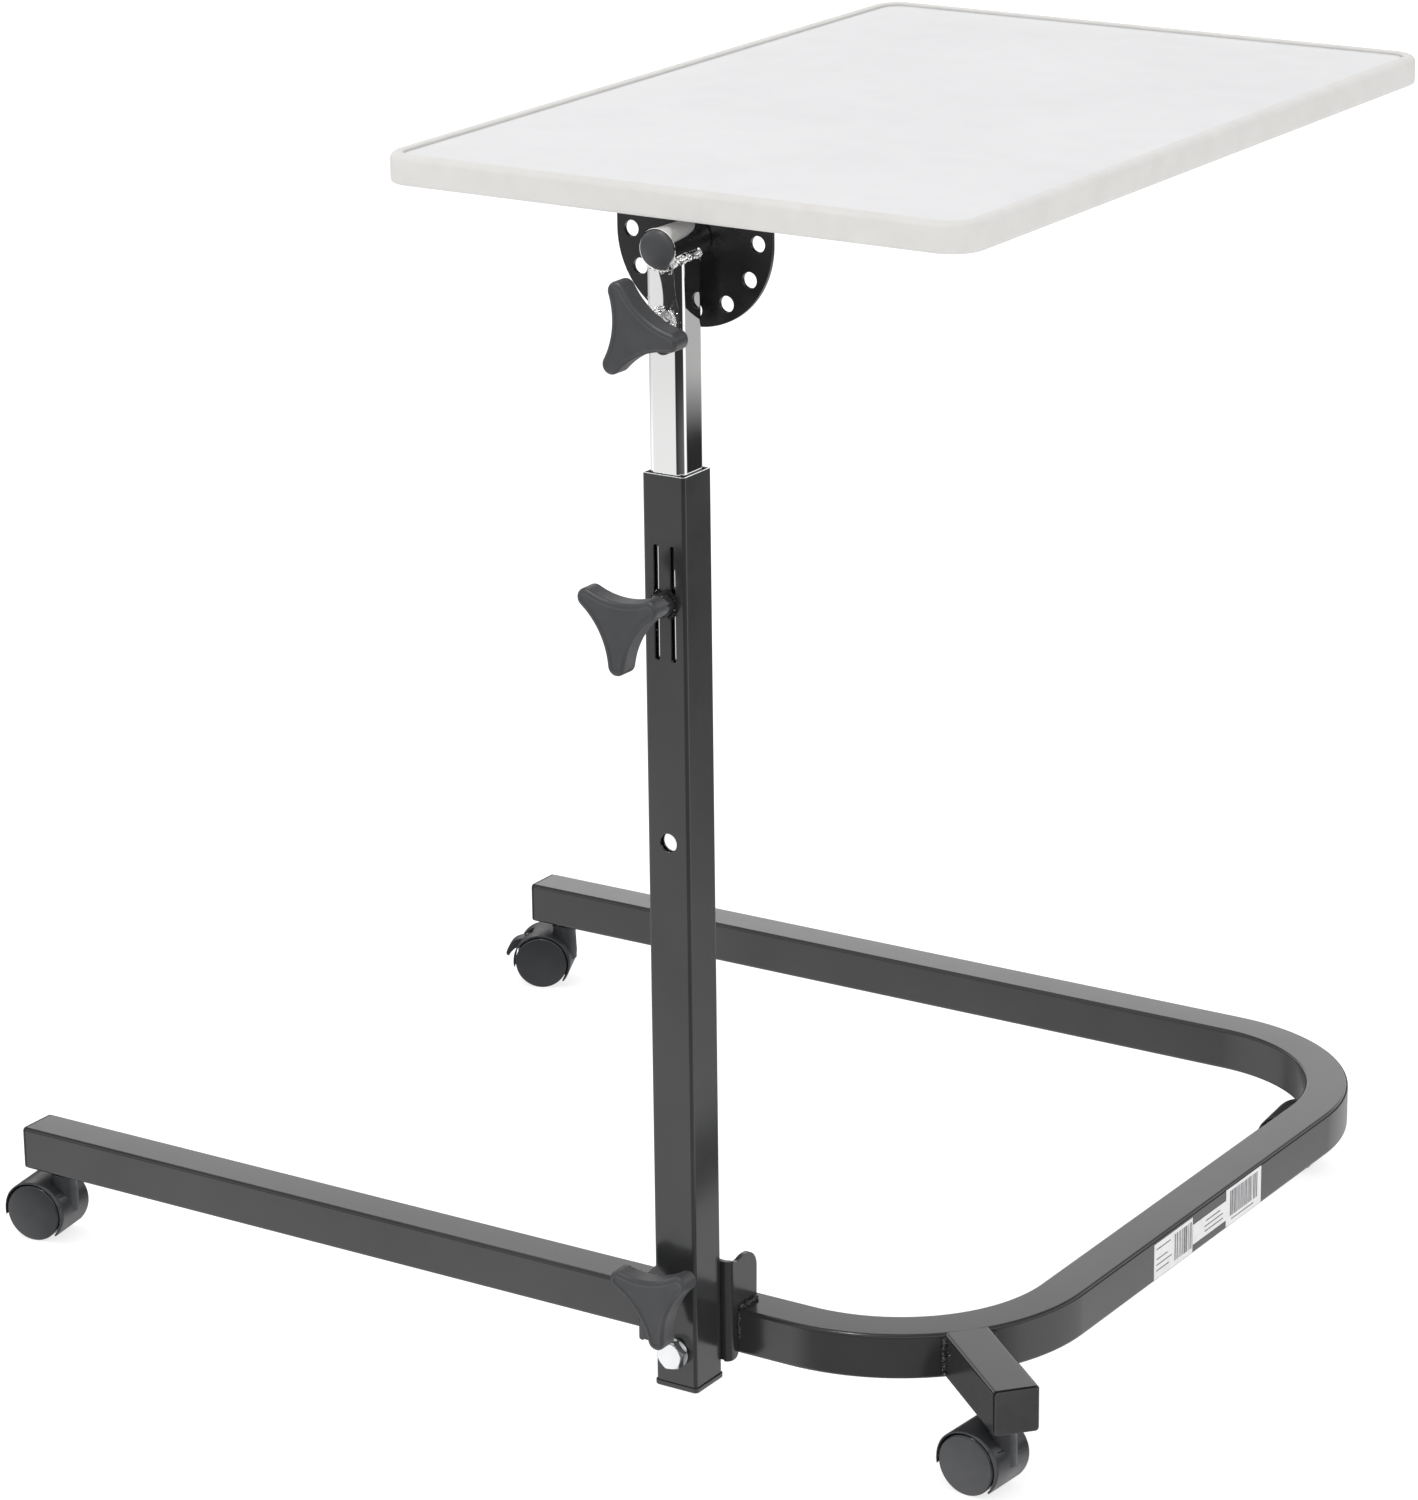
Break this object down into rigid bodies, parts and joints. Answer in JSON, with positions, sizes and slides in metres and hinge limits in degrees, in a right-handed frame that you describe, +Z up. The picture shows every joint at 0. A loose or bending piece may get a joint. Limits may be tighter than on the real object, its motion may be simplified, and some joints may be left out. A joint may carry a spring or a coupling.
{
  "type": "overbed table",
  "caption": "Rolling overbed table with a U-shaped tube base, a mast that leans and telescopes, and a cantilevered tabletop that tilts on a pierced quadrant.",
  "frame": {"origin": "on the floor, at the middle of the object's box in plan", "axes": "+Z up; +X along the base legs towards the cross bar; +Y across the base, away from the mast"},
  "size_m": [0.8158, 0.7135, 0.7985],
  "materials": {
    "black_powder_coat": "satin black powder coat",
    "chrome_plated_steel": "mirror chrome plating",
    "zinc_plated_steel": "bright zinc plating",
    "knob_plastic": "dark grey moulded plastic, satin",
    "black_plastic": "black moulded plastic, satin",
    "caster_plastic": "black nylon, half gloss",
    "rim_plastic": "cream moulded edging, satin",
    "tabletop_laminate": "pale grey melamine-faced board, smooth and half gloss"
  },
  "bodies": {
    "base": {"base_frame": "black_powder_coat", "outrigger_tube": "black_powder_coat", "outrigger_plug": "black_plastic", "mast_leg_plug": "black_plastic", "far_leg_plug": "black_plastic", "pivot_bracket": "black_powder_coat", "pivot_washer": "zinc_plated_steel", "pivot_bolt": "zinc_plated_steel", "pivot_nut": "zinc_plated_steel", "mast_leg_caster_stem": "zinc_plated_steel", "far_leg_caster_stem": "zinc_plated_steel", "outrigger_caster_stem": "zinc_plated_steel", "far_corner_caster_stem": "zinc_plated_steel"},
    "mast": {"outer_mast": "black_powder_coat", "mast_foot_cap": "black_plastic", "mast_glide_collar": "black_plastic", "height_weld_nut": "black_powder_coat", "lean_lock_bolt": "zinc_plated_steel", "lean_lock_washer": "zinc_plated_steel"},
    "lean_knob": {"lean_knob": "knob_plastic"},
    "height_knob": {"height_knob": "knob_plastic", "height_screw": "zinc_plated_steel"},
    "inner_mast": {"inner_mast": "chrome_plated_steel", "inner_mast_glide": "black_plastic", "head_tube": "chrome_plated_steel", "head_tube_cap": "black_plastic", "tilt_weld_nut": "chrome_plated_steel"},
    "tilt_knob": {"tilt_knob": "knob_plastic", "tilt_pin": "zinc_plated_steel"},
    "tabletop": {"quadrant_plate": "black_powder_coat", "tilt_shaft": "zinc_plated_steel", "support_channel": "black_powder_coat", "support_screw_1": "zinc_plated_steel", "support_screw_2": "zinc_plated_steel", "support_screw_3": "zinc_plated_steel", "support_screw_4": "zinc_plated_steel", "tabletop_rim": "rim_plastic", "tabletop_board": "tabletop_laminate"},
    "mast_leg_caster": {"mast_leg_caster_hood": "caster_plastic", "mast_leg_caster_axle": "zinc_plated_steel"},
    "mast_leg_wheel_inner": {"mast_leg_wheel_inner": "caster_plastic"},
    "mast_leg_wheel_outer": {"mast_leg_wheel_outer": "caster_plastic"},
    "far_leg_caster": {"far_leg_caster_hood": "caster_plastic", "far_leg_caster_axle": "zinc_plated_steel"},
    "far_leg_wheel_inner": {"far_leg_wheel_inner": "caster_plastic"},
    "far_leg_wheel_outer": {"far_leg_wheel_outer": "caster_plastic"},
    "far_leg_brake_lever": {"far_leg_brake_lever": "caster_plastic"},
    "outrigger_caster": {"outrigger_caster_hood": "caster_plastic", "outrigger_caster_axle": "zinc_plated_steel"},
    "outrigger_wheel_inner": {"outrigger_wheel_inner": "caster_plastic"},
    "outrigger_wheel_outer": {"outrigger_wheel_outer": "caster_plastic"},
    "far_corner_caster": {"far_corner_caster_hood": "caster_plastic", "far_corner_caster_axle": "zinc_plated_steel"},
    "far_corner_wheel_inner": {"far_corner_wheel_inner": "caster_plastic"},
    "far_corner_wheel_outer": {"far_corner_wheel_outer": "caster_plastic"}
  },
  "joints": [
    {"name": "mast_lean", "type": "hinge", "parent": "base", "child": "mast", "pos_m": [0.1698, -0.2892, 0.062], "axis": [0, -1, 0], "range_deg": [0, 30]},
    {"name": "mast_height", "type": "slide", "parent": "mast", "child": "inner_mast", "axis": [0, 0, 1], "range_m": [-0.075, 0.3]},
    {"name": "table_tilt", "type": "hinge", "parent": "inner_mast", "child": "tabletop", "pos_m": [0.1698, -0.2672, 0.7647], "axis": [0, 1, 0], "range_deg": [-90, 90]},
    {"name": "lean_knob_spin", "type": "hinge", "parent": "mast", "child": "lean_knob", "pos_m": [0.1698, -0.3042, 0.106], "axis": [0, 1, 0], "continuous": true},
    {"name": "height_knob_spin", "type": "hinge", "parent": "mast", "child": "height_knob", "pos_m": [0.1698, -0.3042, 0.549], "axis": [0, 1, 0], "continuous": true},
    {"name": "tilt_knob_spin", "type": "hinge", "parent": "inner_mast", "child": "tilt_knob", "pos_m": [0.1698, -0.3042, 0.7205], "axis": [0, 1, 0], "continuous": true},
    {"name": "mast_leg_caster_swivel", "type": "hinge", "parent": "base", "child": "mast_leg_caster", "pos_m": [-0.3677, -0.2492, 0.05], "axis": [0, 0, 1], "continuous": true},
    {"name": "mast_leg_wheel_inner_spin", "type": "hinge", "parent": "mast_leg_caster", "child": "mast_leg_wheel_inner", "pos_m": [-0.3835, -0.2517, 0.02], "axis": [-0.1564, 0.9877, 0], "continuous": true},
    {"name": "mast_leg_wheel_outer_spin", "type": "hinge", "parent": "mast_leg_caster", "child": "mast_leg_wheel_outer", "pos_m": [-0.3835, -0.2517, 0.02], "axis": [-0.1564, 0.9877, 0], "continuous": true},
    {"name": "far_leg_caster_swivel", "type": "hinge", "parent": "base", "child": "far_leg_caster", "pos_m": [-0.3507, 0.3368, 0.05], "axis": [0, 0, 1], "continuous": true},
    {"name": "far_leg_wheel_inner_spin", "type": "hinge", "parent": "far_leg_caster", "child": "far_leg_wheel_inner", "pos_m": [-0.3652, 0.33004, 0.02], "axis": [-0.4226, 0.9063, 0], "continuous": true},
    {"name": "far_leg_wheel_outer_spin", "type": "hinge", "parent": "far_leg_caster", "child": "far_leg_wheel_outer", "pos_m": [-0.3652, 0.33004, 0.02], "axis": [-0.4226, 0.9063, 0], "continuous": true},
    {"name": "far_leg_brake_press", "type": "hinge", "parent": "far_leg_caster", "child": "far_leg_brake_lever", "pos_m": [-0.37492, 0.32551, 0.029], "axis": [0.4226, -0.9063, 0], "range_deg": [0, 12]},
    {"name": "outrigger_caster_swivel", "type": "hinge", "parent": "base", "child": "outrigger_caster", "pos_m": [0.37867, -0.25897, 0.05], "axis": [0, 0, 1], "continuous": true},
    {"name": "outrigger_wheel_inner_spin", "type": "hinge", "parent": "outrigger_caster", "child": "outrigger_wheel_inner", "pos_m": [0.36271, -0.25785, 0.02], "axis": [0.0698, 0.9976, 0], "continuous": true},
    {"name": "outrigger_wheel_outer_spin", "type": "hinge", "parent": "outrigger_caster", "child": "outrigger_wheel_outer", "pos_m": [0.36271, -0.25785, 0.02], "axis": [0.0698, 0.9976, 0], "continuous": true},
    {"name": "far_corner_caster_swivel", "type": "hinge", "parent": "base", "child": "far_corner_caster", "pos_m": [0.31265, 0.30165, 0.05], "axis": [0, 0, 1], "continuous": true},
    {"name": "far_corner_wheel_inner_spin", "type": "hinge", "parent": "far_corner_caster", "child": "far_corner_wheel_inner", "pos_m": [0.29674, 0.29998, 0.02], "axis": [-0.1045, 0.9945, 0], "continuous": true},
    {"name": "far_corner_wheel_outer_spin", "type": "hinge", "parent": "far_corner_caster", "child": "far_corner_wheel_outer", "pos_m": [0.29674, 0.29998, 0.02], "axis": [-0.1045, 0.9945, 0], "continuous": true}
  ]
}
